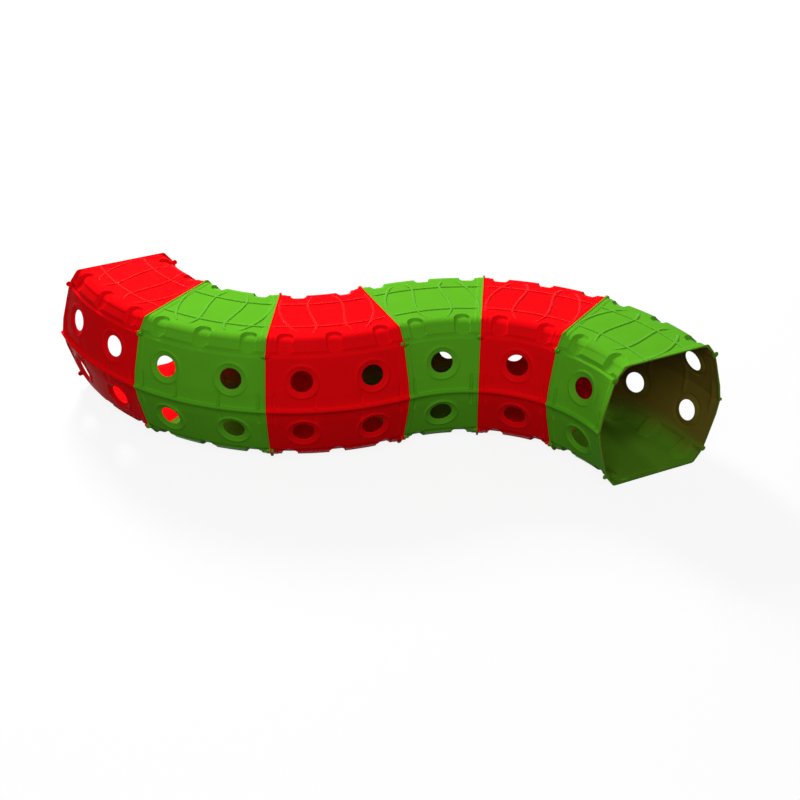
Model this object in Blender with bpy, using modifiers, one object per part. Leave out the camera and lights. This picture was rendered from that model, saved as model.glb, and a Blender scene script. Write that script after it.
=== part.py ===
"""A child's crawl tunnel: six moulded plastic bends bolted end to end in an S.

Each bend is two equal half shells that meet at a lip half way up. All twelve
shells come out of one mould, so one shell is modelled and placed twelve times.
The model is in metres, +Z is up and the tunnel stands on the plane z = 0 with
its middle joint over the origin.
"""
import math

import bmesh
import bpy
from mathutils import Matrix, Vector

# Driving dimensions of the tunnel.
BEND_RADIUS = 0.945
MODULE_ANGLE = math.radians(30)
MODULES_PER_BEND = 3
HALF_WIDTH = 0.318
HALF_HEIGHT = 0.309
WALL = 0.005

# Clearance between pieces that touch, and how far a cut or a root runs past its target.
FIT_GAP = 0.0003
OVERRUN = 0.002

# How far each shape runs past the seam and past the module's ends before these
# are cut flat. Each differs, so that no two faces lie in one plane.
BODY_RUN = 1 * OVERRUN
FLANGE_RUN = 2 * OVERRUN
LIP_RUN = 3 * OVERRUN
RIB_RUN = 4 * OVERRUN
VOID_RUN = 5 * OVERRUN
FLAT_CUT_RUN = 6 * OVERRUN

# Flat facets that stand for the curve of one module.
WALL_FACETS = 3
LIP_FACETS = 4

# Upper half of the cross section, from the seam to the roof, as shares of the
# half width and the half height.
SEAM_SHARES = (1.0, 0.0)
BELLY_SHARES = (0.962, 0.252)
HIP_SHARES = (0.855, 0.641)
LEDGE_OUTER_SHARES = (0.836, 0.777)
LEDGE_INNER_SHARES = (0.780, 0.816)
SHOULDER_SHARES = (0.714, 0.945)
ROOF_EDGE_SHARES = (0.648, 1.0)

# Flange at each end of a module, with a lug for each bolt.
FLANGE_REACH = 0.0075
FLANGE_THICKNESS = 0.005
LUG_RADIUS = 0.013
LUG_STEPS = 3

# Lip along the seam.
LIP_REACH = 0.016
LIP_THICKNESS = 0.006

# Bolts and cap nuts that join two modules.
SHANK_RADIUS = 0.004
BOLT_HEAD_RADIUS = 0.0085
BOLT_HEAD_LENGTH = 0.012
NUT_LENGTH = 0.011
NUT_POCKET_DEPTH = 0.008
FASTENER_SIDES = 6

# Portholes, at angles from the middle of the module.
PORTHOLE_RADIUS = 0.050
PORTHOLE_SIDES = 10
PORTHOLE_HEIGHT_SHARE = 0.5
OUTER_PORTHOLE_ANGLES = (math.radians(-7.5), math.radians(7.5))
INNER_PORTHOLE_ANGLES = (0.0,)

# Scoops pressed into the shoulder. The floor of each runs straight down from a
# line on the roof to just above the ledge. The profile is seen along the floor.
SCOOP_ROOF_SHARE = 0.503
SCOOP_FOOT_SHARE = 0.05
SCOOP_HALF_WIDTH = 0.039
SCOOP_DEPTH = 0.020
SCOOP_HEADROOM = 0.060
SCOOP_RUNOUT = 0.003
SCOOP_PROFILE_SHARES = ((1.0, 1.0), (0.5, 0.0))
OUTER_SCOOP_ANGLES = (math.radians(-10.9), 0.0, math.radians(10.9))
INNER_SCOOP_ANGLES = (math.radians(-8.3), math.radians(8.3))

# Ribs on the roof: two that follow the bend and four wavy ones across it. They
# end a little lower than the flange that they run into.
# A wave's points are shares of the roof's half width and of half the module angle.
RIB_WIDTH = 0.007
RIB_DROP = 0.0005
LONG_RIB_OFFSET = 0.105
END_WAVE_SHARES = ((-0.825, 0.921), (-0.35, 0.93), (0.25, 0.80), (0.801, 0.518))
MIDDLE_WAVE_SHARES = ((-0.898, 0.231), (-0.45, 0.352), (0.40, 0.248), (0.898, 0.339))

# Worked out from the values above.
MODULES = 2 * MODULES_PER_BEND
HALF_ANGLE = MODULE_ANGLE / 2
BEND_TURN = MODULES_PER_BEND * MODULE_ANGLE
SEAM_LEVEL = HALF_HEIGHT + FLANGE_REACH
RIB_HEIGHT = FLANGE_REACH - RIB_DROP
FACE_INSET = FIT_GAP / 2

RED = (0.86, 0.004, 0.007)
GREEN = (0.112, 0.50, 0.016)
PLASTIC_ROUGHNESS = 0.30

# Fasteners that are green although they sit on a red module.
GREEN_FASTENERS = ("joint_2_nut_lower_right", "joint_3_bolt_upper_right")


def clear_scene():
    """Remove what the scene holds, so that the model starts empty."""
    for thing in list(bpy.data.objects):
        bpy.data.objects.remove(thing, do_unlink=True)


def new_collection(name):
    """A collection linked to the scene."""
    collection = bpy.data.collections.new(name)
    bpy.context.scene.collection.children.link(collection)
    return collection


def plastic(name, colour):
    """A glossy moulded plastic."""
    material = bpy.data.materials.new(name)
    material.use_nodes = True
    shader = material.node_tree.nodes["Principled BSDF"]
    shader.inputs["Base Color"].default_value = (*colour, 1.0)
    shader.inputs["Roughness"].default_value = PLASTIC_ROUGHNESS
    shader.inputs["Metallic"].default_value = 0.0
    material.diffuse_color = (*colour, 1.0)
    return material


def new_object(name, mesh, collection):
    """An object for a mesh, in a collection."""
    thing = bpy.data.objects.new(name, mesh)
    collection.objects.link(thing)
    return thing


def finish_tool(name, bm, collection):
    """Turn a bmesh into a wire-drawn tool object that the build leaves out."""
    bmesh.ops.recalc_face_normals(bm, faces=bm.faces[:])
    mesh = bpy.data.meshes.new(name)
    bm.to_mesh(mesh)
    bm.free()
    tool = new_object(name, mesh, collection)
    tool.hide_render = True
    tool.display_type = "WIRE"
    return tool


def section_point(shares):
    """A point of the cross section, from its shares."""
    across, up = shares
    return Vector((across * HALF_WIDTH, up * HALF_HEIGHT))


def mirrored(points):
    """A symmetric outline from its right half, which runs upwards or downwards."""
    return points + [Vector((-p.x, p.y)) for p in reversed(points)]


def wall_outline():
    """The outside of the shell, from the seam over the roof to the seam."""
    shares = (SEAM_SHARES, BELLY_SHARES, HIP_SHARES, LEDGE_OUTER_SHARES,
              LEDGE_INNER_SHARES, SHOULDER_SHARES, ROOF_EDGE_SHARES)
    return mirrored([section_point(share) for share in shares])


def crossing(point_a, along_a, point_b, along_b):
    """Where two lines in a plane cross."""
    span = point_b - point_a
    reach = (span.x * along_b.y - span.y * along_b.x) / (along_a.x * along_b.y - along_a.y * along_b.x)
    return point_a + along_a * reach


def offset_outline(points, distance, level):
    """Move an open outline to its right by a distance, with its ends on a level line."""
    lines = []
    for start, end in zip(points, points[1:]):
        along = (end - start).normalized()
        lines.append((start + Vector((along.y, -along.x)) * distance, along))
    flat = (Vector((0, level)), Vector((1, 0)))
    edges = [flat] + lines + [flat]
    return [crossing(*first, *second) for first, second in zip(edges, edges[1:])]


def arc(centre, radius, start, end, steps):
    """Points along an arc from one angle to another."""
    angles = [start + (end - start) * step / steps for step in range(steps + 1)]
    return [centre + Vector((math.cos(a), math.sin(a))) * radius for a in angles]


def arc_angle_on_line(centre, radius, point, along, side):
    """The angle at which a circle meets a line, on the side of the circle that the line runs to."""
    toward = point - centre
    foot = toward - along * toward.dot(along)
    half_chord = math.sqrt(radius ** 2 - foot.length_squared)
    meeting = foot + along * half_chord * side
    return math.atan2(meeting.y, meeting.x)


def bolt_centre():
    """The bolt's place over the ledge, on the right side of the upper shell."""
    return Vector((section_point(LEDGE_OUTER_SHARES).x, section_point(LEDGE_INNER_SHARES).y))


def flange_outline():
    """The wall's outline moved out by the flange's reach, with a round lug at each ledge."""
    outline = offset_outline(wall_outline(), FLANGE_REACH, -FLANGE_RUN)
    side = outline[:len(outline) // 2]
    seam, belly, hip, ledge_outer, ledge_inner, shoulder, roof_edge = side
    up_panel = (ledge_outer - hip).normalized()
    up_shoulder = (shoulder - ledge_inner).normalized()
    start = arc_angle_on_line(bolt_centre(), LUG_RADIUS, hip, up_panel, -1)
    end = arc_angle_on_line(bolt_centre(), LUG_RADIUS, shoulder, up_shoulder, 1)
    lug = arc(bolt_centre(), LUG_RADIUS, start, end, LUG_STEPS)
    return mirrored([seam, belly, hip] + lug + [shoulder, roof_edge])


def push(bm, faces, move):
    """Extrude faces along a vector and return the faces at the new end."""
    grown = bmesh.ops.extrude_face_region(bm, geom=faces)["geom"]
    bmesh.ops.translate(bm, verts=[g for g in grown if isinstance(g, bmesh.types.BMVert)], vec=move)
    return [g for g in grown if isinstance(g, bmesh.types.BMFace)]


def add_prism(bm, outline, move):
    """A flat outline of points in space, extruded along a vector."""
    face = bm.faces.new([bm.verts.new(point) for point in outline])
    push(bm, [face], move)


def add_sweep(bm, section, facets, run):
    """A section swept round the bend in flat facets, whose end facets run on past the module."""
    start = Matrix.Rotation(-HALF_ANGLE, 3, "Z")
    ring = [bm.verts.new(start @ Vector((BEND_RADIUS + p.x, 0, p.y))) for p in section]
    face = bm.faces.new(ring)
    geometry = [face] + list(face.edges) + ring
    spun = bmesh.ops.spin(bm, geom=geometry, cent=(0, 0, 0), axis=(0, 0, 1), dvec=(0, 0, 0),
                          angle=MODULE_ANGLE, steps=facets, use_duplicate=False)
    last = [g for g in spun["geom_last"] if isinstance(g, bmesh.types.BMVert)]
    chord_angle = HALF_ANGLE - MODULE_ANGLE / facets / 2
    for verts, side in ((ring, -1), (last, 1)):
        chord = Matrix.Rotation(side * chord_angle, 3, "Z") @ Vector((0, side * run, 0))
        bmesh.ops.translate(bm, verts=verts, vec=chord)


def sweep_tool(name, sections, facets, run, collection):
    """A tool made of sections swept round the bend."""
    bm = bmesh.new()
    for section in sections:
        add_sweep(bm, section, facets, run)
    return finish_tool(name, bm, collection)


def rectangle(left, right, bottom, top):
    """A rectangle in the plane of the cross section."""
    return [Vector((left, bottom)), Vector((right, bottom)), Vector((right, top)), Vector((left, top))]


def outer_body(collection):
    """The shell's outside as a solid."""
    outside = offset_outline(wall_outline(), 0, -BODY_RUN)
    return sweep_tool("shell_outside", [outside], WALL_FACETS, BODY_RUN, collection)


def inner_void(collection):
    """The space inside the shell, open at both ends and below."""
    inside = offset_outline(wall_outline(), -WALL, -VOID_RUN)
    return sweep_tool("shell_inside", [inside], WALL_FACETS, VOID_RUN, collection)


def seam_lips(collection):
    """The lip along each side of the seam."""
    root = HALF_WIDTH / 2
    tip = HALF_WIDTH + LIP_REACH
    sections = [rectangle(side * root, side * tip, -LIP_RUN, LIP_THICKNESS) for side in (-1, 1)]
    return sweep_tool("seam_lips", sections, LIP_FACETS, LIP_RUN, collection)


def long_ribs(collection):
    """The two ribs on the roof that follow the bend."""
    sections = []
    for offset in (-LONG_RIB_OFFSET, LONG_RIB_OFFSET):
        sections.append(rectangle(offset - RIB_WIDTH / 2, offset + RIB_WIDTH / 2,
                                  HALF_HEIGHT / 2, HALF_HEIGHT + RIB_HEIGHT))
    return sweep_tool("long_ribs", sections, WALL_FACETS, RIB_RUN, collection)


def end_flanges(collection):
    """The flange plate at each end of the module."""
    bm = bmesh.new()
    for side in (-1, 1):
        turn = Matrix.Rotation(side * HALF_ANGLE, 3, "Z")
        back = FACE_INSET + FLANGE_THICKNESS
        face = [turn @ Vector((BEND_RADIUS + p.x, -side * back, p.y)) for p in flange_outline()]
        add_prism(bm, face, turn @ Vector((0, side * (back + FLANGE_RUN), 0)))
    return finish_tool("end_flanges", bm, collection)


def box(bm, low, high, turn):
    """A box between two corners, turned about the bend's centre."""
    made = bmesh.ops.create_cube(bm, size=1)["verts"]
    bmesh.ops.scale(bm, verts=made, vec=Vector(high) - Vector(low))
    bmesh.ops.translate(bm, verts=made, vec=(Vector(high) + Vector(low)) / 2)
    bmesh.ops.rotate(bm, verts=made, cent=(0, 0, 0), matrix=turn)


def flat_cuts(name, seam, collection):
    """Blocks that leave the seam, or both ends of the module, flat."""
    bm = bmesh.new()
    reach = HALF_WIDTH + LIP_REACH + OVERRUN
    top = HALF_HEIGHT + FLANGE_REACH + OVERRUN
    if seam:
        half_length = (BEND_RADIUS + reach) * math.sin(HALF_ANGLE)
        near = (BEND_RADIUS - reach) * math.cos(HALF_ANGLE)
        box(bm, (near, -half_length, -FLAT_CUT_RUN), (BEND_RADIUS + reach, half_length, FACE_INSET),
            Matrix.Identity(3))
        return finish_tool(name, bm, collection)
    for side in (-1, 1):
        near, far = sorted((-side * FACE_INSET, side * FLAT_CUT_RUN))
        box(bm, (BEND_RADIUS - reach, near, -FLAT_CUT_RUN), (BEND_RADIUS + reach, far, top),
            Matrix.Rotation(side * HALF_ANGLE, 3, "Z"))
    return finish_tool(name, bm, collection)


def polygon(radius, sides):
    """A regular polygon whose flats lie at the radius."""
    corner = radius / math.cos(math.pi / sides)
    return [Vector((math.cos(a), math.sin(a))) * corner
            for a in (2 * math.pi * (step + 0.5) / sides for step in range(sides))]


def bolt_holes(collection):
    """A hole through each lug, for the shank of a bolt."""
    bm = bmesh.new()
    hole = polygon(SHANK_RADIUS + FIT_GAP, FASTENER_SIDES)
    for end in (-1, 1):
        turn = Matrix.Rotation(end * HALF_ANGLE, 3, "Z")
        for side in (-1, 1):
            centre = Vector((BEND_RADIUS + side * bolt_centre().x, end * OVERRUN, bolt_centre().y))
            face = [turn @ (centre + Vector((p.x, 0, p.y))) for p in hole]
            add_prism(bm, face, turn @ Vector((0, -end * (FLANGE_THICKNESS + 2 * OVERRUN), 0)))
    return finish_tool("bolt_holes", bm, collection)


def panel_frame(side):
    """Middle of the porthole panel and the direction out of it, on one side of the module."""
    belly = section_point(BELLY_SHARES)
    hip = section_point(HIP_SHARES)
    middle = belly.lerp(hip, PORTHOLE_HEIGHT_SHARE)
    along = (hip - belly).normalized()
    out = Vector((along.y, -along.x))
    return Vector((side * middle.x, middle.y)), Vector((side * out.x, out.y))


def portholes(collection):
    """Round cutters square to the side panels."""
    bm = bmesh.new()
    depth = 2 * (WALL + PORTHOLE_RADIUS)
    for side, angles in ((1, OUTER_PORTHOLE_ANGLES), (-1, INNER_PORTHOLE_ANGLES)):
        middle, out = panel_frame(side)
        along = Vector((-out.y, out.x))
        for angle in angles:
            turn = Matrix.Rotation(angle, 3, "Z")
            face = []
            for p in polygon(PORTHOLE_RADIUS, PORTHOLE_SIDES):
                spot = middle + along * p.y + out * (depth / 2)
                face.append(turn @ Vector((BEND_RADIUS + spot.x, p.x, spot.y)))
            add_prism(bm, face, turn @ Vector((-out.x * depth, 0, -out.y * depth)))
    return finish_tool("portholes", bm, collection)


def scoop_profile(growth):
    """The scoop's section seen along its floor: across, and up from the floor."""
    half = [Vector((-SCOOP_HALF_WIDTH, SCOOP_HEADROOM))]
    half += [Vector((-across * SCOOP_HALF_WIDTH, up * SCOOP_DEPTH)) for across, up in SCOOP_PROFILE_SHARES]
    return offset_outline(mirrored(half), growth, SCOOP_HEADROOM)


def scoop_floor():
    """Start and end of the scoop's floor in the cross section."""
    start = Vector((SCOOP_ROOF_SHARE * HALF_WIDTH, HALF_HEIGHT))
    ledge = section_point(LEDGE_INNER_SHARES)
    return start, ledge.lerp(section_point(SHOULDER_SHARES), SCOOP_FOOT_SHARE)


def scoops(name, growth, collection):
    """The scoops' hollows, grown on every side but the top."""
    bm = bmesh.new()
    start, foot = scoop_floor()
    down = (foot - start).normalized()
    up = Vector((-down.y, down.x))
    first = start - down * SCOOP_HALF_WIDTH
    run = (foot - first).length + SCOOP_RUNOUT + growth
    for side, angles in ((1, OUTER_SCOOP_ANGLES), (-1, INNER_SCOOP_ANGLES)):
        for angle in angles:
            turn = Matrix.Rotation(angle, 3, "Z")
            face = []
            for p in scoop_profile(growth):
                spot = first + up * p.y
                face.append(turn @ Vector((BEND_RADIUS + side * spot.x, p.x, spot.y)))
            add_prism(bm, face, turn @ Vector((side * down.x * run, 0, down.y * run)))
    return finish_tool(name, bm, collection)


def wave_ribs(collection):
    """The wavy ribs across the roof, as upright strips given a thickness."""
    bm = bmesh.new()
    roof_half_width = section_point(ROOF_EDGE_SHARES).x
    root = HALF_HEIGHT - WALL - RIB_HEIGHT
    for shares in (END_WAVE_SHARES, MIDDLE_WAVE_SHARES):
        for side in (-1, 1):
            path = []
            for across, along in shares:
                turn = Matrix.Rotation(side * along * HALF_ANGLE, 3, "Z")
                path.append(bm.verts.new(turn @ Vector((BEND_RADIUS + across * roof_half_width, 0, root))))
            edges = [bm.edges.new(pair) for pair in zip(path, path[1:])]
            grown = bmesh.ops.extrude_edge_only(bm, edges=edges)["geom"]
            tops = [g for g in grown if isinstance(g, bmesh.types.BMVert)]
            bmesh.ops.translate(bm, verts=tops, vec=(0, 0, HALF_HEIGHT + RIB_HEIGHT - root))
    ribs = finish_tool("wave_ribs", bm, collection)
    thickness = ribs.modifiers.new("rib_width", "SOLIDIFY")
    thickness.thickness = RIB_WIDTH
    thickness.offset = 0
    thickness.use_even_offset = True
    return ribs


def combine(target, tool, operation):
    """Add a Boolean modifier to an object."""
    step = target.modifiers.new(tool.name, "BOOLEAN")
    step.object = tool
    step.operation = operation
    step.solver = "EXACT"


def evaluated_mesh(thing, name):
    """The mesh of an object after its modifiers."""
    graph = bpy.context.evaluated_depsgraph_get()
    graph.update()
    mesh = bpy.data.meshes.new_from_object(thing.evaluated_get(graph))
    mesh.name = name
    return mesh


def half_shell(collection):
    """The one moulding that all twelve shells share, as a mesh about the bend's centre."""
    body = outer_body(collection)
    void = inner_void(collection)
    combine(void, scoops("scoop_undersides", WALL, collection), "DIFFERENCE")
    for shape in (end_flanges, seam_lips, long_ribs, wave_ribs):
        combine(body, shape(collection), "UNION")
    combine(body, scoops("scoop_hollows", 0, collection), "DIFFERENCE")
    combine(body, void, "DIFFERENCE")
    combine(body, flat_cuts("end_cuts", False, collection), "DIFFERENCE")
    combine(body, flat_cuts("seam_cut", True, collection), "DIFFERENCE")
    for shape in (portholes, bolt_holes):
        combine(body, shape(collection), "DIFFERENCE")
    return evaluated_mesh(body, "half_shell")


def bar(name, radius, start, length, collection):
    """A six sided bar along the tunnel, from one place to another."""
    bm = bmesh.new()
    face = [Vector((p.x, start, p.y)) for p in polygon(radius, FASTENER_SIDES)]
    add_prism(bm, face, Vector((0, length, 0)))
    return finish_tool(name, bm, collection)


def fastener_seat():
    """Distance from the joint's plane to the face that a bolt head or nut seats on."""
    return FACE_INSET + FLANGE_THICKNESS + FIT_GAP


def bolt_mesh(collection):
    """A bolt: its head on one side of the joint and its shank through both flanges."""
    seat = fastener_seat()
    head = bar("bolt_head", BOLT_HEAD_RADIUS, -seat - BOLT_HEAD_LENGTH, BOLT_HEAD_LENGTH, collection)
    shank_start = -seat - BOLT_HEAD_LENGTH / 2
    shank_end = seat + NUT_POCKET_DEPTH - FIT_GAP
    combine(head, bar("bolt_shank", SHANK_RADIUS, shank_start, shank_end - shank_start, collection), "UNION")
    return evaluated_mesh(head, "bolt")


def nut_mesh(collection):
    """A cap nut with a blind bore, for the other side of the joint."""
    seat = fastener_seat()
    nut = bar("nut_body", BOLT_HEAD_RADIUS, seat, NUT_LENGTH, collection)
    bore_radius = SHANK_RADIUS + FIT_GAP
    combine(nut, bar("nut_bore", bore_radius, seat - OVERRUN, NUT_POCKET_DEPTH + OVERRUN, collection),
            "DIFFERENCE")
    return evaluated_mesh(nut, "nut")


def along_tunnel(count):
    """Where a place a count of modules from the middle joint lies on its bend.

    Gives the bend's centre, the angle seen from it, and which hand of the
    tunnel the bend's outside is on.
    """
    side = 1 if count <= 0 else -1
    across = Vector((-math.sin(BEND_TURN / 2), math.cos(BEND_TURN / 2), 0))
    middle = BEND_TURN / 2 - side * math.pi / 2
    return across * BEND_RADIUS * side, middle - abs(count) * MODULE_ANGLE, side


def guide(name, location, angle, collection):
    """An empty that carries one module or one joint's fasteners."""
    empty = bpy.data.objects.new(name, None)
    empty.location = location
    empty.rotation_euler = (0, 0, angle)
    collection.objects.link(empty)
    return empty


def place(name, mesh, parent, location, rotation, material, collection):
    """A piece of the tunnel under its guide, with its own material."""
    piece = new_object(name, mesh, collection)
    piece.parent = parent
    piece.location = location
    piece.rotation_euler = rotation
    if not mesh.materials:
        mesh.materials.append(None)
    piece.material_slots[0].link = "OBJECT"
    piece.material_slots[0].material = material
    return piece


def place_modules(mesh, materials, collection, guides):
    """Two half shells for each module, in turn red and green."""
    for number in range(1, MODULES + 1):
        centre, angle, _ = along_tunnel(number - MODULES_PER_BEND - 0.5)
        frame = guide(f"module_{number}", centre + Vector((0, 0, SEAM_LEVEL)), angle, guides)
        colour = materials[(number - 1) % len(materials)]
        place(f"upper_shell_{number}", mesh, frame, (0, 0, 0), (0, 0, 0), colour, collection)
        place(f"lower_shell_{number}", mesh, frame, (0, 0, 0), (math.pi, 0, 0), colour, collection)


def place_fastener(name, mesh, frame, spot, material, green, collection):
    """A bolt or a nut in the colour of the module that it sits on, or green."""
    colour = green if name in GREEN_FASTENERS else material
    place(name, mesh, frame, spot, (0, 0, 0), colour, collection)


def place_fasteners(bolt, nut, materials, collection, guides):
    """A bolt and a nut in each of the four lugs at every joint between two modules."""
    lug = bolt_centre()
    for number in range(1, MODULES):
        centre, angle, side = along_tunnel(number - MODULES_PER_BEND)
        spoke = Vector((math.cos(angle), math.sin(angle), 0))
        right = angle if side > 0 else angle + math.pi
        frame = guide(f"joint_{number}", centre + spoke * BEND_RADIUS + Vector((0, 0, SEAM_LEVEL)),
                      right, guides)
        for level, up in (("upper", 1), ("lower", -1)):
            for hand, across in (("left", -1), ("right", 1)):
                spot = (across * lug.x, 0, up * lug.y)
                before, after = materials[(number - 1) % 2], materials[number % 2]
                place_fastener(f"joint_{number}_bolt_{level}_{hand}", bolt, frame, spot, before,
                               materials[1], collection)
                place_fastener(f"joint_{number}_nut_{level}_{hand}", nut, frame, spot, after,
                               materials[1], collection)


def main():
    """Build the tunnel."""
    clear_scene()
    tunnel = new_collection("play_tunnel")
    tools = new_collection("cutters")
    guides = new_collection("guides")
    plastics = (plastic("red_plastic", RED), plastic("green_plastic", GREEN))
    place_modules(half_shell(tools), plastics, tunnel, guides)
    place_fasteners(bolt_mesh(tools), nut_mesh(tools), plastics, tunnel, guides)
    bpy.context.view_layer.update()


main()
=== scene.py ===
"""Kids play tunnel: smooth mouldings, ribs, knobs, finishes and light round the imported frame.

Lengths are in metres and the tunnel stands on z = 0. A half shell is first laid
out straight: x runs across the tunnel and away from the bend's centre, y runs
along the tunnel on its middle line, and z runs up from the seam. A node tree
then bends it round and sets it in its place.
"""
import math

import bmesh
import bpy
import numpy as np
from mathutils import Matrix, Vector


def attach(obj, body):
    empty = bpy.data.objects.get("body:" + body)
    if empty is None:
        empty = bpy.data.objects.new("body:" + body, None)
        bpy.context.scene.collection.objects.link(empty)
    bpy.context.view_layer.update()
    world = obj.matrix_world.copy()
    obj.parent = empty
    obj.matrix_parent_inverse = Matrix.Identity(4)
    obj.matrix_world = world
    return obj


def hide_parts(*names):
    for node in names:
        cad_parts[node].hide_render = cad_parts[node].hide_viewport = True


# Plan of the tunnel: two bends of three modules each, in an S.
BEND_RADIUS = 0.945
HALF_ANGLE = math.radians(15)
MODULES = 6
BEND_TURN = math.radians(90)
SEAM_LEVEL = 0.3165

# What keeps the faces of two mouldings apart where they meet.
FACE_INSET = 0.00015

# Right half of the wall's cross section, from the seam to the middle of the
# roof: across, up, and the radius that rounds the corner.
WALL_CORNERS = (
    (0.3180, 0.000, 0.000),
    (0.3058, 0.070, 0.150),
    (0.2745, 0.199, 0.060),
    (0.2630, 0.2420, 0.006),
    (0.2495, 0.2475, 0.003),
    (0.2485, 0.2680, 0.006),
    (0.2050, 0.3115, 0.060),
    (0.0000, 0.3115, 0.000),
)
# The flange's rim, whose corners pair one by one with those of the wall.
RIM_CORNERS = (
    (0.3262, 0.000, 0.000),
    (0.3142, 0.076, 0.150),
    (0.2800, 0.196, 0.060),
    (0.2665, 0.2400, 0.020),
    (0.2610, 0.2530, 0.010),
    (0.2535, 0.2690, 0.012),
    (0.2180, 0.3165, 0.018),
    (0.0000, 0.3165, 0.000),
)
WALL = 0.005
SMALLEST_RADIUS = 0.0008

# How finely the straight stretches and the corners of that section are divided.
OUTER_LINE_STEPS = (8, 18, 8, 5, 7, 5, 15)
OUTER_ARC_STEPS = (3, 1, 4, 4, 6, 18)
INNER_LINE_STEPS = (6, 10, 4, 2, 3, 3, 7)
INNER_ARC_STEPS = (2, 1, 2, 3, 3, 12)

# The stretch that is the roof, and its finer rows at the edge, where the scoops end.
ROOF_EDGE_LINE = 6
ROOF_FINE_WIDTH = 0.050
ROOF_FINE_STEPS = 12

# Lip at the seam, from its lower edge over its top to the wall: across, up, the
# same at the flange, and how far the row shares in what is pressed into the wall.
LIP_ROWS = (
    (0.3340, FACE_INSET, 0.3340, FACE_INSET, 0.0),
    (0.3340, 0.0044, 0.3340, 0.0044, 0.0),
    (0.3335, 0.0055, 0.3335, 0.0055, 0.0),
    (0.3325, 0.0060, 0.3325, 0.0060, 0.0),
    (0.3265, 0.0060, 0.3268, 0.0060, 0.0),
    (0.3212, 0.0060, 0.3260, 0.0060, 0.4),
    (0.3200, 0.0062, 0.3257, 0.0064, 0.7),
    (0.3180, 0.0070, 0.3254, 0.0074, 1.0),
)
LIP_BLEND_ROWS = 3
FIRST_WALL_LEVEL = 0.009

# Flange at each end: depth from the joint's plane and share of its full reach.
END_COLUMNS = (
    (0.0100, 0.00), (0.0072, 0.00), (0.0060, 0.06), (0.0053, 0.20), (0.00515, 0.42), (0.00515, 0.86),
    (0.0047, 0.96), (0.0040, 1.00), (0.0012, 1.00), (0.0005, 0.97), (FACE_INSET, 0.90),
)
INNER_END_COLUMNS = ((0.0080, 0.0), (0.0012, 0.0), (FACE_INSET, 0.0))

# Even columns along a module, and how far from its middle they reach.
OUTER_CELLS = 176
INNER_CELLS = 88
FREE_ANGLE = math.radians(14.1)

# The wall steps outwards next to the flange.
JOG_HEIGHT = 0.0025
JOG_START = 0.031
JOG_END = 0.025

# Lugs for the bolts, and the hollow over the ledge that gives their heads room.
BOLT_CENTRE = (0.266, 0.252)
LUG_RADIUS = 0.013
POCKET_RADIUS = 0.0150
POCKET_LENGTH = 0.024
POCKET_END = 0.029

# Portholes: the hole, the raised ring round it, the dish between, and the field of
# the grid that they take up to each side. The rings of vertices are given by their
# distance from the hole's edge and how far they are sunk.
PORTHOLE_RADIUS = 0.050
PORTHOLE_ANGLES = {1: (math.radians(-7.5), math.radians(7.5)), -1: (0.0,)}
PORTHOLE_FIELD = 0.093
BEAD_RADIUS = 0.076
BEAD_HALF_WIDTH = 0.009
BEAD_HEIGHT = 0.0052
DISH_RADIUS = 0.068
DISH_SLOPE = 0.018
DISH_DEPTH = 0.0050
OUTER_RINGS = ((0.036, 0.0), (0.033, 0.0), (0.0295, 0.0), (0.026, 0.0), (0.0225, 0.0), (0.019, 0.0),
               (0.014, 0.0), (0.007, 0.0), (0.0035, 0.0), (0.0022, 0.0003), (0.0010, 0.0010),
               (0.0003, 0.0020), (0.0, 0.0032))
INNER_RINGS = ((0.036, 0.0), (0.031, 0.0), (0.026, 0.0), (0.021, 0.0), (0.016, 0.0), (0.010, 0.0),
               (0.0025, 0.0), (0.0007, -0.0004), (0.0, -0.0012))

# Scoops: tongues pressed into the shoulder from the roof to the ledge, down to a
# flat floor but no deeper than their depth.
SCOOP_ANGLES = {1: (math.radians(-10.9), 0.0, math.radians(10.9)),
                -1: (math.radians(-8.3), math.radians(8.3))}
SCOOP_TOP = (0.1590, 0.3115)
SCOOP_FOOT = (0.2495, 0.2490)
SCOOP_FLOOR = ((0.1570, 0.3120), (0.2420, 0.2560))
SCOOP_DEPTH = 0.0130
SCOOP_FLOOR_ROUNDING = 0.004
SCOOP_HALF_WIDTH = 0.038
SCOOP_EDGE = 0.006

# The shoulder between the scoops is a little sunk below the roof's edge.
SHOULDER_SINK = 0.0016
SHOULDER_SINK_LEVELS = (0.2505, 0.2600, 0.2945, 0.2965)

# Fasteners along the seam and the upright grooves that make room for them.
SEAM_FASTENER_ANGLES = {1: tuple(map(math.radians, (-13.3, -4.9, 4.9, 13.3))),
                        -1: tuple(map(math.radians, (-12.0, 12.0)))}
SEAM_FASTENER_OFFSET = 0.3205
GROOVE_HALF_WIDTH = 0.0085
GROOVE_FLAT_SHARE = 0.6
GROOVE_DEPTH = 0.0105
GROOVE_TOP_DEPTH = 0.0035
GROOVE_TOP = 0.070
GROOVE_RUNOUT = 0.012

# Ribs on the roof: two that follow the bend and four wavy ones across it, which
# thin out and sink at their ends. The waves' points are shares of the roof's half
# width and of the module's half length.
RIB_WIDTH = 0.0130
RIB_HEIGHT = 0.0040
RIB_ROOT = 0.002
RIB_STEP = 0.006
RIB_SIDES = 16
RIB_END_DEPTH = 0.003
RIB_END_SCALE = 0.3
RIB_END_DROP = 0.0025
LONG_RIB_OFFSET = 0.105
ROOF_HALF_WIDTH = 0.206
WAVE_SHARES = (
    ((-0.800, 0.905), (-0.534, 0.943), (-0.194, 0.912), (0.146, 0.829), (0.440, 0.717), (0.620, 0.630),
     (0.760, 0.530)),
    ((-0.850, 0.240), (-0.558, 0.350), (-0.194, 0.338), (0.243, 0.268), (0.520, 0.240), (0.670, 0.265),
     (0.800, 0.310)),
)

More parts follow.
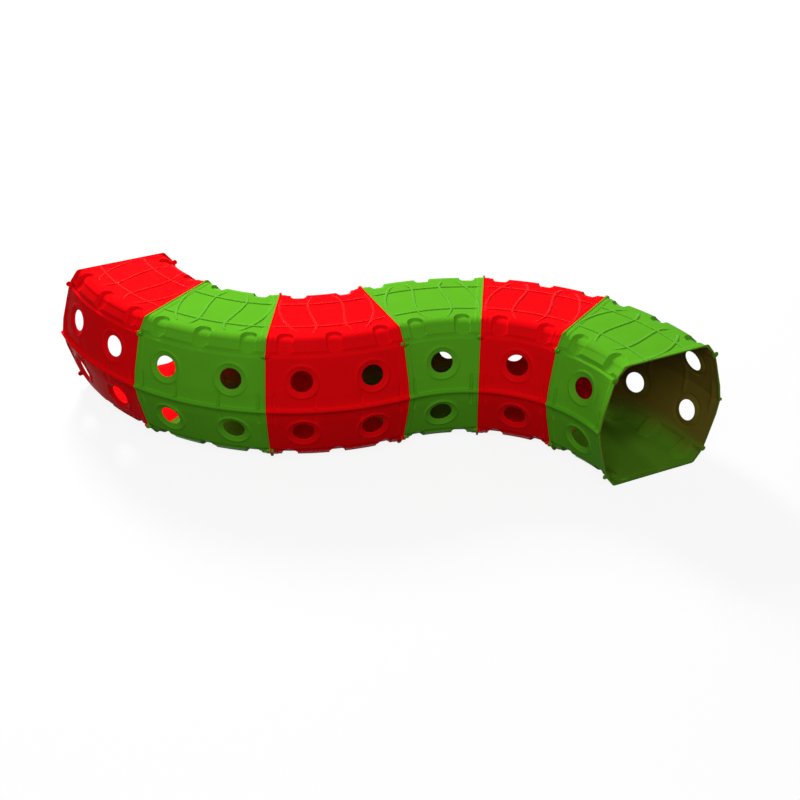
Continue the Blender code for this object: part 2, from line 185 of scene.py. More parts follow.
# Joining knobs and seam fasteners: how far they stand from the joint or the seam,
# their sizes, and the width of their rounded edges.
KNOB_SEAT = 0.0053
KNOB_SIZES = {
    "Head radius": 0.0090, "Head height": 0.0085,
    "Collar radius": 0.0098, "Collar height": 0.0022,
}
KNOB_SIDES = 6
KNOB_EDGE = 0.0014
SEAM_SEAT = 0.0063
SEAM_SIZES = {
    "Head radius": 0.0062, "Head height": 0.0045,
    "Collar radius": 0.0082, "Collar height": 0.0014,
}
SEAM_SIDES = 18
SEAM_EDGE = 0.0009
EDGE_SEGMENTS = 3

# Knobs that are green although they sit on a red module.
GREEN_FASTENERS = ("joint_2_nut_lower_right", "joint_3_bolt_upper_right")

# Edges that turn more sharply than this are drawn square.
MOULDING_SQUARE_EDGE = math.radians(78)
HEAD_SQUARE_EDGE = math.radians(50)

# Colours outside, and painted shade on the inner surface: the inner walls are painted darker (brown on the
# green modules) for the shade within the tunnel, and the inner floor a lighter tone than the walls for the
# light that falls in at the mouth. The floor's painted tone changes to that of the walls over a stretch of
# height.
RED = (0.94, 0.003, 0.006)
RED_WALL_PAINTED_SHADE = (0.90, 0.004, 0.008)
RED_FLOOR_PAINTED_SHADE = (0.94, 0.003, 0.006)
GREEN = (0.112, 0.43, 0.016)
GREEN_WALL_PAINTED_SHADE = (0.160, 0.125, 0.016)
GREEN_FLOOR_PAINTED_SHADE = (0.095, 0.250, 0.013)
PAINTED_SHADE_RISE = (0.02, 0.11)
COLOURS = {
    "red_plastic": (RED, RED_WALL_PAINTED_SHADE, RED_FLOOR_PAINTED_SHADE),
    "green_plastic": (GREEN, GREEN_WALL_PAINTED_SHADE, GREEN_FLOOR_PAINTED_SHADE),
}

# Finish of the plastic: a faint sheen, clearer on the ribs, with a mottled tone, an
# uneven gloss, a fine peel and a slow sag of the surface.
GLOSS_LEVEL = 0.003
RIB_GLOSS_LEVEL = 0.035
PLASTIC_INDEX = 1.5
MOTTLE = {"Scale": 9.0, "Detail": 3.0, "Roughness": 0.5}
MOTTLE_TONES = (0.94, 1.06)
SHEEN = {"Scale": 26.0, "Detail": 4.0, "Roughness": 0.6}
SHEEN_ROUGHNESS = (0.15, 0.27)
PEEL = {"Scale": 420.0, "Detail": 2.0, "Roughness": 0.5}
PEEL_BUMP = {"Strength": 0.10, "Distance": 0.0004}
SAG = {"Scale": 14.0, "Detail": 1.0, "Roughness": 0.4}
SAG_BUMP = {"Strength": 0.25, "Distance": 0.0030}

# Light: an even dim world, a floor that is white to the eye, and soft boxes
# (place, the point that each faces, width, height, power).
WORLD_LIGHT = 0.25
FLOOR_REACH = 60.0
FLOOR_TONE = 0.11
FLOOR_ROUGHNESS = 0.9
FLOOR_GLOW = 0.88
FAR_FLOOR_GLOW = 0.975
FLOOR_FADE = (2.5, 9.0)
SOFT_BOXES = {
    "key": ((-3.90, 4.11, 4.41), (0.0, 0.0, 0.3), 1.8, 1.8, 705.0),
    "front_fill": ((1.35, -5.0, 5.0), (0.0, 0.0, 0.3), 3.2, 3.2, 155.0),
}

# Camera of the photograph, and the image it stands for.
CAMERA_PLACE = (2.047, -5.567, 3.876)
CAMERA_AZIMUTH = math.radians(19.25)
CAMERA_ELEVATION = math.radians(32.36)
CAMERA_ROLL = math.radians(0.22)
FOCAL_PIXELS = 1464.3
IMAGE_PIXELS = 800
SENSOR_WIDTH = 36.0
CLIP_END = 100.0

# What each row of a section says of itself.
ROW_FIELDS = ("across", "up", "out_across", "out_up", "full_across", "full_up", "length", "fixed")


def smooth_step(start, end, value):
    """0 before start, 1 after end, and a smooth rise between them."""
    share = np.clip((value - start) / (end - start), 0, 1)
    return share * share * (3 - 2 * share)


def smooth_min(first, second, rounding):
    """The smaller of two fields, with the edge where they meet rounded."""
    share = np.clip(0.5 + 0.5 * (second - first) / rounding, 0, 1)
    return second * (1 - share) + first * share - rounding * share * (1 - share)


def line_crossing(point_a, along_a, point_b, along_b):
    """Where two lines of the section cross."""
    span = point_b - point_a
    spread = along_a[0] * along_b[1] - along_a[1] * along_b[0]
    return point_a + along_a * (span[0] * along_b[1] - span[1] * along_b[0]) / spread


def rounded_wall(wall_corners, offset, first_level, line_steps, arc_steps):
    """Points and outward directions along a section of rounded corners, moved outwards by an offset.

    The same steps give the same rows at any offset, so rows can be paired.
    """
    corners = np.array([corner[:2] for corner in wall_corners])
    along = np.diff(corners, axis=0)
    along /= np.linalg.norm(along, axis=1, keepdims=True)
    out = np.column_stack((along[:, 1], -along[:, 0]))
    starts = corners[:-1] + out * offset
    spots = [starts[0] + along[0] * (first_level - starts[0, 1]) / along[0, 1]]
    spots += [line_crossing(starts[i - 1], along[i - 1], starts[i], along[i])
              for i in range(1, len(starts))]
    spots.append(np.array((0.0, corners[-1, 1] + offset)))
    points, outs = [], []
    previous = spots[0]
    for i in range(1, len(spots) - 1):
        turn = math.asin(along[i - 1, 0] * along[i, 1] - along[i - 1, 1] * along[i, 0])
        bulge = math.copysign(1, turn)
        radius = max(wall_corners[i][2] + bulge * offset, SMALLEST_RADIUS)
        setback = radius * math.tan(abs(turn) / 2)
        start = spots[i] - along[i - 1] * setback
        centre = start - out[i - 1] * radius * bulge
        for step in range(line_steps[i - 1]):
            points.append(previous + (start - previous) * step / line_steps[i - 1])
            outs.append(out[i - 1])
        for step in range(arc_steps[i - 1]):
            angle = turn * step / arc_steps[i - 1]
            away = np.array((out[i - 1, 0] * math.cos(angle) - out[i - 1, 1] * math.sin(angle),
                             out[i - 1, 0] * math.sin(angle) + out[i - 1, 1] * math.cos(angle)))
            points.append(centre + away * radius * bulge)
            outs.append(away)
        previous = spots[i] + along[i] * setback
    for across in roof_rows(previous[0], line_steps[ROOF_EDGE_LINE]):
        points.append(np.array((across, previous[1])))
        outs.append(out[-1])
    return np.array(points), np.array(outs)


def roof_rows(edge, steps):
    """Places across the roof from its edge to its middle, closer where the scoops run out."""
    fine = ROOF_FINE_STEPS if steps > INNER_LINE_STEPS[ROOF_EDGE_LINE] else ROOF_FINE_STEPS // 2
    near = [edge - ROOF_FINE_WIDTH * step / fine for step in range(fine)]
    rest = edge - ROOF_FINE_WIDTH
    return near + [rest * (1 - step / steps) for step in range(steps + 1)]


def arc_lengths(points):
    """Distance along a chain of points from its first."""
    return np.concatenate(([0.0], np.cumsum(np.linalg.norm(np.diff(points, axis=0), axis=1))))


def with_lug(rim):
    """The flange's rim, with the stretch inside the bolt's lug moved out to the lug's edge."""
    rim = rim.copy()
    away = rim - np.array(BOLT_CENTRE)
    inside = np.flatnonzero(np.hypot(*away.T) < LUG_RADIUS)
    first, last = inside[0] - 1, inside[-1] + 1
    angles = np.arctan2(away[[first, last], 1], away[[first, last], 0])
    along = arc_lengths(rim[first:last + 1])
    sweep = np.interp(along[1:-1] / along[-1], (0, 1), angles)
    rim[inside] = np.array(BOLT_CENTRE) + LUG_RADIUS * np.column_stack((np.cos(sweep), np.sin(sweep)))
    return rim


class Section:
    """Rows of one surface of the shell, from the outer seam over the roof to the inner seam."""

    def __init__(self, outer):
        steps = (OUTER_LINE_STEPS, OUTER_ARC_STEPS) if outer else (INNER_LINE_STEPS, INNER_ARC_STEPS)
        level = FIRST_WALL_LEVEL if outer else FACE_INSET
        offset = 0 if outer else -WALL
        points, outs = rounded_wall(WALL_CORNERS, offset, level, *steps)
        full = points
        length = arc_lengths(points) + points[0, 1]
        if outer:
            full = with_lug(rounded_wall(RIM_CORNERS, 0, level, *steps)[0])
            lip = np.array(LIP_ROWS)
            points = np.concatenate((lip[:, :2], points))
            full = np.concatenate((lip[:, 2:4], full))
            outs = np.concatenate((np.column_stack((lip[:, 4], np.zeros(len(lip)))), outs))
            length = np.concatenate((-WALL * np.arange(len(lip), 0, -1), length))
        self.outer = outer
        self.side = np.concatenate((np.ones(len(points)), -np.ones(len(points) - 1)))
        self.across = self.mirror(points[:, 0], -1)
        self.up = self.mirror(points[:, 1])
        self.out_across = self.mirror(outs[:, 0], -1)
        self.out_up = self.mirror(outs[:, 1])
        self.full_across = self.mirror(full[:, 0], -1)
        self.full_up = self.mirror(full[:, 1])
        self.length = self.mirror(length)
        self.fixed = self.mirror(np.arange(len(points)) < (len(LIP_ROWS) - LIP_BLEND_ROWS if outer else 0))
        self.place = np.concatenate((length, 2 * length[-1] - length[-2::-1]))

    def length_at(self, spot):
        """Length along the right half to the row nearest to a point of the section."""
        away = np.hypot(self.across - spot[0], self.up - spot[1])
        return float(self.length[np.argmin(away)])

    @staticmethod
    def mirror(values, sign=1):
        """Values of the right half, then those of the left half."""
        return np.concatenate((values, values[-2::-1] * sign if sign != 1 else values[-2::-1]))


def scoop_press(across, up, length, around, ends, growth):
    """How far each point moves to the flat floor of a round-ended scoop, and the way it moves."""
    foot, top = ends
    start, stop = np.array(SCOOP_FLOOR)
    slope = (stop - start) / np.linalg.norm(stop - start)
    out = np.array((-slope[1], slope[0]))
    height = (np.abs(across) - start[0]) * out[0] + (up - start[1]) * out[1] + growth
    half_width = SCOOP_HALF_WIDTH + growth
    middle = np.clip(length, foot + SCOOP_HALF_WIDTH, top - SCOOP_HALF_WIDTH)
    share = np.zeros_like(across)
    for side, angles in SCOOP_ANGLES.items():
        for angle in angles:
            sideways = (BEND_RADIUS + across) * (around - angle)
            distance = np.hypot(sideways, length - middle)
            inside = 1 - smooth_step(half_width - SCOOP_EDGE, half_width, distance)
            share = np.maximum(share, inside * (across * side > 0))
    height = smooth_min(np.maximum(height, 0), SCOOP_DEPTH + growth, SCOOP_FLOOR_ROUNDING)
    return np.maximum(height, 0) * share, out


def groove_depth(across, up, around, growth, fixed):
    """How far the wall is pressed in by the upright grooves at the seam fasteners."""
    depth = np.zeros_like(across)
    half_width = GROOVE_HALF_WIDTH + growth
    full = np.interp(up, (0, GROOVE_TOP), (GROOVE_DEPTH, GROOVE_TOP_DEPTH))
    full = full * (1 - smooth_step(GROOVE_TOP, GROOVE_TOP + GROOVE_RUNOUT, up)) * ~fixed
    for side, angles in SEAM_FASTENER_ANGLES.items():
        for angle in angles:
            sideways = np.abs((BEND_RADIUS + across) * (around - angle))
            inside = 1 - smooth_step(half_width * GROOVE_FLAT_SHARE, half_width, sideways)
            depth = np.maximum(depth, full * (across * side > 0) * inside)
    return depth


def panel_relief(across, length, around, middle_length, middle_up, up):
    """Height of the ring and the dish round each porthole."""
    relief = np.zeros_like(across)
    for side, angles in PORTHOLE_ANGLES.items():
        for angle in angles:
            sideways = (BEND_RADIUS + across) * (around - angle)
            distance = np.hypot(sideways, length - middle_length)
            near = (across * side > 0) & (np.abs(up - middle_up) < PORTHOLE_FIELD)
            bead = BEAD_HEIGHT * (1 - smooth_step(0, BEAD_HALF_WIDTH, np.abs(distance - BEAD_RADIUS)))
            dish = DISH_DEPTH * (1 - smooth_step(DISH_RADIUS - DISH_SLOPE, DISH_RADIUS, distance))
            relief += np.where(near, bead - dish, 0)
    return relief


class Surface:
    """Vertices of one surface: where each lies on the section and along the bend."""

    def __init__(self, section, first_index):
        self.section = section
        self.first_index = first_index
        self.fields = {name: [] for name in ROW_FIELDS + ("around", "share", "sink")}
        self.count = 0
        self.faces = []

    def add(self, **values):
        """Add vertices and return their numbers."""
        size = len(values["around"])
        for name, store in self.fields.items():
            store.append(np.broadcast_to(values[name], (size,)))
        numbers = self.first_index + self.count + np.arange(size)
        self.count += size
        return numbers

    def placed(self, middle):
        """Straightened coordinates of every vertex, with all that is pressed into the wall."""
        field = {name: np.concatenate(store) for name, store in self.fields.items()}
        across, up, around = field["across"], field["up"], field["around"]
        outer = self.section.outer
        end = (BEND_RADIUS + across) * (HALF_ANGLE - np.abs(around))
        lift = JOG_HEIGHT * (1 - smooth_step(JOG_END, JOG_START, end))
        lift = lift + panel_relief(across, field["length"], around, *middle, up) - field["sink"]
        low, start, stop, top = SHOULDER_SINK_LEVELS
        lift = lift - SHOULDER_SINK * smooth_step(low, start, up) * (1 - smooth_step(stop, top, up))
        ends = self.section.length_at(SCOOP_FOOT), self.section.length_at(SCOOP_TOP)
        groove = groove_depth(across, up, around, 0 if outer else WALL / 2, field["fixed"])
        new_across = across + field["out_across"] * lift - np.sign(across) * groove
        new_up = up + field["out_up"] * lift
        press, out = scoop_press(new_across, new_up, field["length"], around, ends, 0 if outer else WALL)
        new_across = new_across - np.sign(across) * press * out[0]
        new_up = new_up - press * out[1]
        new_across, new_up = pocketed(new_across, new_up, end, POCKET_RADIUS + (0 if outer else WALL))
        share = field["share"]
        new_across = new_across + (field["full_across"] - new_across) * share
        new_up = new_up + (field["full_up"] - new_up) * share
        return np.column_stack((new_across, around * BEND_RADIUS, new_up))


def pocketed(across, up, end, radius):
    """The wall over the ledge, kept clear of the bolt heads near each joint."""
    side = np.sign(across)
    from_bolt = np.stack((np.abs(across) - BOLT_CENTRE[0], up - BOLT_CENTRE[1]))
    distance = np.hypot(*from_bolt)
    push = np.maximum(radius - distance, 0) * (1 - smooth_step(POCKET_LENGTH, POCKET_END, end))
    push = np.where(distance > 0, push / np.maximum(distance, WALL), 0)
    return across + side * from_bolt[0] * push, up + from_bolt[1] * push


def column_angles(section, cells, end_columns):
    """Angle of each vertex of the grid, and the share of the flange's reach in each column."""
    inner = np.linspace(-HALF_ANGLE, HALF_ANGLE, cells + 1)
    inner = inner[np.abs(inner) < FREE_ANGLE]
    radius = (BEND_RADIUS + section.across)[:, None]
    depths = np.array([depth for depth, _ in end_columns])[None, :]
    shares = np.array([share for _, share in end_columns])
    ends = HALF_ANGLE - depths / radius
    middle = np.repeat(inner[None, :], len(section.across), axis=0)
    angles = np.concatenate((-ends[:, ::-1], middle, ends), axis=1)
    return angles, np.concatenate((shares[::-1], 0 * inner, shares))


def zip_chains(first, second, first_places, second_places):
    """Triangles between two chains of vertices whose places grow the same way."""
    faces = []
    i = j = 0
    while i < len(first) - 1 or j < len(second) - 1:
        if j == len(second) - 1 or (i < len(first) - 1 and first_places[i + 1] <= second_places[j + 1]):
            faces.append((int(first[i]), int(first[i + 1]), int(second[j])))
            i += 1
        else:
            faces.append((int(first[i]), int(second[j + 1]), int(second[j])))
            j += 1
    return faces


def porthole_blocks(section, angles, middle):
    """The rows and columns of the grid that give way to each porthole."""
    middle_length, _ = middle
    blocks = []
    for side, places in PORTHOLE_ANGLES.items():
        near = np.abs(section.length - middle_length) < PORTHOLE_FIELD
        rows = np.flatnonzero(near & (section.side == side) & ~section.fixed)
        radius = BEND_RADIUS + side * middle_radius(section, middle)
        for place in places:
            around = angles[rows[0]]
            columns = np.flatnonzero(np.abs(around - place) * radius < PORTHOLE_FIELD)
            blocks.append((side, place, rows[0], rows[-1], columns[0], columns[-1]))
    return blocks


def middle_radius(section, middle):
    """How far the middle of the porthole panel lies from the tunnel's middle line."""
    right = section.side > 0
    return float(np.interp(middle[0], section.length[right], section.across[right]))


def block_boundary(numbers, top, bottom, left, right):
    """The vertices round a block of the grid, in order."""
    return np.concatenate((numbers[top, left:right], numbers[top:bottom, right],
                           numbers[bottom, right:left:-1], numbers[bottom:top:-1, left]))


def panel_value(section, side, name, length):
    """A value of the section at a distance from the seam, on one side."""
    rows = section.side == side
    order = np.argsort(section.length[rows])
    return np.interp(length, section.length[rows][order], getattr(section, name)[rows][order])


def add_porthole(surface, boundary, boundary_lengths, boundary_angles, side, place, rings, middle):
    """Rings of faces from a block's edge to the rim of the hole. Returns the rim and its directions."""
    section = surface.section
    base = BEND_RADIUS + panel_value(section, side, "across", boundary_lengths)
    sideways = base * (boundary_angles - place)
    rise = boundary_lengths - middle[0]
    direction = np.arctan2(rise, sideways)
    previous = boundary
    reach = np.hypot(sideways, rise)
    radii = [(PORTHOLE_RADIUS + gap, sink) for gap, sink in rings]
    half_way = (reach + radii[0][0]) / 2
    for radius, sink in [(half_way, 0.0)] + radii:
        length = middle[0] + radius * np.sin(direction)
        across = panel_value(section, side, "across", length)
        values = {name: panel_value(section, side, name, length) for name in ("up", "out_across", "out_up")}
        around = place + radius * np.cos(direction) / (BEND_RADIUS + across)
        ring = surface.add(across=across, full_across=across, full_up=values["up"], length=length,
                           fixed=False, around=around, share=0.0, sink=sink, **values)
        follow = np.roll(previous, -1), np.roll(ring, -1)
        surface.faces += [tuple(map(int, quad)) for quad in zip(previous, follow[0], follow[1], ring)]
        previous = ring
    return previous, direction


def add_grid(surface, cells, end_columns, rings, middle):
    """The whole surface as a grid with its portholes. Returns the grid and the holes' rims."""
    section = surface.section
    angles, shares = column_angles(section, cells, end_columns)
    rows, columns = angles.shape
    used = np.ones((rows, columns), bool)
    open_cells = np.zeros((rows - 1, columns - 1), bool)
    blocks = porthole_blocks(section, angles, middle)
    for _, _, top, bottom, left, right in blocks:
        used[top + 1:bottom, left + 1:right] = False
        open_cells[top:bottom, left:right] = True
    kept = np.nonzero(used)
    per_row = {name: getattr(section, name)[kept[0]] for name in ROW_FIELDS}
    numbers = np.full((rows, columns), -1)
    numbers[kept] = surface.add(around=angles[kept], share=shares[kept[1]], sink=0.0, **per_row)
    cell_rows, cell_columns = np.nonzero(~open_cells)
    quads = np.stack((numbers[cell_rows, cell_columns], numbers[cell_rows, cell_columns + 1],
                      numbers[cell_rows + 1, cell_columns + 1], numbers[cell_rows + 1, cell_columns]),
                     axis=1)
    surface.faces += [tuple(quad) for quad in quads.tolist()]
    row_lengths = np.repeat(section.length[:, None], columns, axis=1)
    rims = []
    for side, place, *edges in blocks:
        boundary = block_boundary(numbers, *edges)
        lengths = block_boundary(row_lengths, *edges)
        around = block_boundary(angles, *edges)
        rims.append(add_porthole(surface, boundary, lengths, around, side, place, rings, middle))
    return numbers, angles, rims


def closed_by_direction(rim):
    """A rim's vertices in order of direction, with the first repeated at the end."""
    numbers, direction = rim
    order = np.argsort(direction)
    places = np.append(direction[order], direction[order][0] + 2 * math.pi)
    return np.append(numbers[order], numbers[order][0]), places


def panel_middle(section):
    """The middle of the porthole panel: its length along the section, and its level."""
    level = (WALL_CORNERS[1][1] + WALL_CORNERS[2][1]) / 2
    right = (section.side > 0) & ~section.fixed
    return float(np.interp(level, section.up[right], section.length[right])), level


def straight_shell():
    """The moulding laid out straight, as one closed mesh."""
    outside = Surface(Section(True), 0)
    middle = panel_middle(outside.section)
    outer_grid, outer_angles, outer_rims = add_grid(outside, OUTER_CELLS, END_COLUMNS, OUTER_RINGS, middle)
    inside = Surface(Section(False), outside.count)
    inner_middle = panel_middle(inside.section)
    inner_grid, inner_angles, inner_rims = add_grid(inside, INNER_CELLS, INNER_END_COLUMNS, INNER_RINGS,
                                                    inner_middle)
    faces = outside.faces + [face[::-1] for face in inside.faces]
    for column in (0, -1):
        faces += zip_chains(outer_grid[:, column], inner_grid[:, column], outside.section.place,
                            inside.section.place)
    for row in (0, -1):
        faces += zip_chains(outer_grid[row], inner_grid[row], outer_angles[row], inner_angles[row])
    for outer_rim, inner_rim in zip(outer_rims, inner_rims):
        first, first_places = closed_by_direction(outer_rim)
        second, second_places = closed_by_direction(inner_rim)
        faces += zip_chains(first, second, first_places, second_places)
    points = np.concatenate((outside.placed(middle), inside.placed(inner_middle)))
    mesh = closed_mesh("straight_shell", points, faces)
    # The inner surface, whose colour the plastic darkens into painted shade.
    inner_shade_mask = mesh.attributes.new("inside", "FLOAT", "POINT")
    inner_shade_mask.data.foreach_set("value", np.arange(len(points)) >= outside.count)
    return mesh


def closed_mesh(name, points, faces):
    """A mesh whose faces all point outwards, shaded smooth but for its square edges."""
    mesh = bpy.data.meshes.new(name)
    mesh.from_pydata(points.tolist(), [], faces)
    bm = bmesh.new()
    bm.from_mesh(mesh)
    bmesh.ops.recalc_face_normals(bm, faces=bm.faces[:])
    bm.to_mesh(mesh)
    bm.free()
    mesh.shade_smooth()
    mesh.set_sharp_from_angle(angle=MOULDING_SQUARE_EDGE)
    return mesh


def along_tunnel(count):
    """Where a place a count of modules from the middle joint lies: bend centre, angle, outer hand."""
    side = 1 if count <= 0 else -1
    across = Vector((-math.sin(BEND_TURN / 2), math.cos(BEND_TURN / 2), 0))
    middle = BEND_TURN / 2 - side * math.pi / 2
    return across * BEND_RADIUS * side, middle - abs(count) * 2 * HALF_ANGLE, side


def new_tree(name, inputs):
    """An empty node tree with its own inputs, as (name, socket type, default)."""
    tree = bpy.data.node_groups.new(name, "GeometryNodeTree")
    tree.interface.new_socket("Geometry", in_out="INPUT", socket_type="NodeSocketGeometry")
    for label, kind, default in inputs:
        socket = tree.interface.new_socket(label, in_out="INPUT", socket_type=kind)
        if default is not None:
            socket.default_value = default
    tree.interface.new_socket("Geometry", in_out="OUTPUT", socket_type="NodeSocketGeometry")
    return tree, tree.nodes.new("NodeGroupInput"), tree.nodes.new("NodeGroupOutput")


def math_node(tree, operation, first, second=None):
    """A math node fed by sockets or plain numbers."""
    node = tree.nodes.new("ShaderNodeMath")
    node.operation = operation
    for index, value in enumerate((first, second)):
        if value is None:
            continue
        if isinstance(value, (int, float)):
            node.inputs[index].default_value = value
        else:
            tree.links.new(value, node.inputs[index])
    return node.outputs[0]


BEND_INPUTS = (("Bend radius", "NodeSocketFloat", BEND_RADIUS), ("Middle angle", "NodeSocketFloat", 0.0),
               ("Way up", "NodeSocketFloat", 1.0), ("Bend centre", "NodeSocketVector", (0, 0, 0)),
               ("Material", "NodeSocketMaterial", None))


def bend_nodes(tree, given, geometry):
    """Nodes that bend straight geometry round, set it in place and give it its material."""
    place = tree.nodes.new("ShaderNodeSeparateXYZ")
    tree.links.new(tree.nodes.new("GeometryNodeInputPosition").outputs[0], place.inputs[0])
    radius = math_node(tree, "ADD", place.outputs["X"], given.outputs["Bend radius"])
    turn = math_node(tree, "DIVIDE", place.outputs["Y"], given.outputs["Bend radius"])
    turn = math_node(tree, "MULTIPLY", turn, given.outputs["Way up"])
    angle = math_node(tree, "ADD", turn, given.outputs["Middle angle"])
    rise = math_node(tree, "MULTIPLY", place.outputs["Z"], given.outputs["Way up"])
    bent = tree.nodes.new("ShaderNodeCombineXYZ")
    tree.links.new(math_node(tree, "MULTIPLY", radius, math_node(tree, "COSINE", angle)), bent.inputs["X"])
    tree.links.new(math_node(tree, "MULTIPLY", radius, math_node(tree, "SINE", angle)), bent.inputs["Y"])
    tree.links.new(rise, bent.inputs["Z"])
    moved = tree.nodes.new("ShaderNodeVectorMath")
    moved.operation = "ADD"
    tree.links.new(bent.outputs[0], moved.inputs[0])
    tree.links.new(given.outputs["Bend centre"], moved.inputs[1])
    shifted = tree.nodes.new("GeometryNodeSetPosition")
    tree.links.new(geometry, shifted.inputs["Geometry"])
    tree.links.new(moved.outputs[0], shifted.inputs["Position"])
    return finished_nodes(tree, given, shifted.outputs[0])


def finished_nodes(tree, given, geometry):
    """The end of every tree: real geometry with its material."""
    real = tree.nodes.new("GeometryNodeRealizeInstances")
    painted = tree.nodes.new("GeometryNodeSetMaterial")
    tree.links.new(geometry, real.inputs["Geometry"])
    tree.links.new(real.outputs[0], painted.inputs["Geometry"])
    tree.links.new(given.outputs["Material"], painted.inputs["Material"])
    return painted.outputs[0]


def bend_tree():
    """Bends a straight shell round its centre."""
    tree, given, result = new_tree("bend_and_place", BEND_INPUTS)
    tree.links.new(bend_nodes(tree, given, given.outputs["Geometry"]), result.inputs[0])
    return tree


def rib_tree():
    """Sweeps an oval bar along each path, then bends it with the shell."""
    inputs = (("Rib width", "NodeSocketFloat", RIB_WIDTH),
              ("Rib depth", "NodeSocketFloat", RIB_HEIGHT + RIB_ROOT),
              ("Step", "NodeSocketFloat", RIB_STEP))
    tree, given, result = new_tree("roof_rib", inputs + BEND_INPUTS)
    path = tree.nodes.new("GeometryNodeMeshToCurve")
    tree.links.new(given.outputs["Geometry"], path.inputs["Mesh"])
    flowing = tree.nodes.new("GeometryNodeCurveSplineType")
    flowing.spline_type = "CATMULL_ROM"
    tree.links.new(path.outputs[0], flowing.inputs["Curve"])
    even = tree.nodes.new("GeometryNodeResampleCurve")
    even.mode = "LENGTH"
    tree.links.new(flowing.outputs[0], even.inputs["Curve"])
    tree.links.new(given.outputs["Step"], even.inputs["Length"])
    upright = tree.nodes.new("GeometryNodeSetCurveNormal")
    upright.mode = "Z_UP"
    tree.links.new(even.outputs[0], upright.inputs["Curve"])
    section = tree.nodes.new("GeometryNodeCurvePrimitiveCircle")
    section.inputs["Resolution"].default_value = RIB_SIDES
    section.inputs["Radius"].default_value = 1 / 2
    size = tree.nodes.new("ShaderNodeCombineXYZ")
    tree.links.new(given.outputs["Rib width"], size.inputs["X"])
    tree.links.new(given.outputs["Rib depth"], size.inputs["Y"])
    rounded = tree.nodes.new("GeometryNodeTransform")
    tree.links.new(section.outputs[0], rounded.inputs["Geometry"])
    tree.links.new(size.outputs[0], rounded.inputs["Scale"])
    bar = tree.nodes.new("GeometryNodeCurveToMesh")
    bar.inputs["Fill Caps"].default_value = True
    tree.links.new(upright.outputs[0], bar.inputs["Curve"])
    tree.links.new(rounded.outputs[0], bar.inputs["Profile Curve"])
    soft = tree.nodes.new("GeometryNodeSetShadeSmooth")
    tree.links.new(bar.outputs[0], soft.inputs["Geometry"])
    tree.links.new(bend_nodes(tree, given, soft.outputs[0]), result.inputs[0])
    return tree


def disc_nodes(tree, given, radius, height, base):
    """A round or many-sided disc that stands on a level."""
    disc = tree.nodes.new("GeometryNodeMeshCylinder")
    tree.links.new(given.outputs["Sides"], disc.inputs["Vertices"])
    tree.links.new(radius, disc.inputs["Radius"])
    tree.links.new(height, disc.inputs["Depth"])
    lift = tree.nodes.new("ShaderNodeCombineXYZ")
    half = math_node(tree, "DIVIDE", height, 2)
    tree.links.new(math_node(tree, "ADD", half, base), lift.inputs["Z"])
    raised = tree.nodes.new("GeometryNodeTransform")
    tree.links.new(disc.outputs["Mesh"], raised.inputs["Geometry"])
    tree.links.new(lift.outputs[0], raised.inputs["Translation"])
    return raised.outputs[0]


def fastener_tree():
    """Sets a head on a collar at every point, facing the way that the point says."""
    inputs = tuple((name, "NodeSocketFloat", size) for name, size in KNOB_SIZES.items())
    inputs += (("Sides", "NodeSocketInt", KNOB_SIDES), ("Material", "NodeSocketMaterial", None))
    tree, given, result = new_tree("fasteners", inputs)
    collar = disc_nodes(tree, given, given.outputs["Collar radius"], given.outputs["Collar height"], 0.0)
    head = disc_nodes(tree, given, given.outputs["Head radius"], given.outputs["Head height"],
                      given.outputs["Collar height"])
    whole = tree.nodes.new("GeometryNodeJoinGeometry")
    for part in (collar, head):
        tree.links.new(part, whole.inputs[0])
    facing = tree.nodes.new("GeometryNodeInputNamedAttribute")
    facing.data_type = "FLOAT_VECTOR"
    facing.inputs["Name"].default_value = "facing"
    turned = tree.nodes.new("FunctionNodeAlignRotationToVector")
    turned.axis = "Z"
    tree.links.new(facing.outputs["Attribute"], turned.inputs["Vector"])
    points = tree.nodes.new("GeometryNodeMeshToPoints")
    tree.links.new(given.outputs["Geometry"], points.inputs["Mesh"])
    copies = tree.nodes.new("GeometryNodeInstanceOnPoints")
    tree.links.new(points.outputs[0], copies.inputs["Points"])
    tree.links.new(whole.outputs[0], copies.inputs["Instance"])
    tree.links.new(turned.outputs[0], copies.inputs["Rotation"])
    tree.links.new(finished_nodes(tree, given, copies.outputs[0]), result.inputs[0])
    return tree


def grown(name, mesh, tree, values, bevel=None):
    """The plain mesh that a node tree makes of a mesh, with its inputs set by name."""
    thing = bpy.data.objects.new(name, mesh)
    bpy.context.scene.collection.objects.link(thing)
    step = thing.modifiers.new("shape", "NODES")
    step.node_group = tree
    sockets = {item.name: item.identifier for item in tree.interface.items_tree if item.in_out == "INPUT"}
    for label, value in values.items():
        step[sockets[label]] = value
    if bevel:
        edges = thing.modifiers.new("edges", "BEVEL")
        edges.width = bevel
        edges.segments = EDGE_SEGMENTS
        edges.limit_method = "ANGLE"
    graph = bpy.context.evaluated_depsgraph_get()
    made = bpy.data.meshes.new_from_object(thing.evaluated_get(graph))
    made.name = name
    bpy.data.objects.remove(thing)
    return made


def piece(name, mesh, nodes=()):
    """A finished piece that rides on the tunnel and stands for the nodes it replaces."""
    thing = bpy.data.objects.new(name, mesh)
    bpy.context.scene.collection.objects.link(thing)
    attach(thing, "root")
    if nodes:
        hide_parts(*nodes)
    return thing


def joined(name, meshes):
    """Several meshes of one material as one mesh."""
    bm = bmesh.new()
    for mesh in meshes:
        bm.from_mesh(mesh)
    whole = bpy.data.meshes.new(name)
    whole.materials.append(meshes[0].materials[0])
    bm.to_mesh(whole)
    bm.free()
    for mesh in meshes:
        bpy.data.meshes.remove(mesh)
    return whole


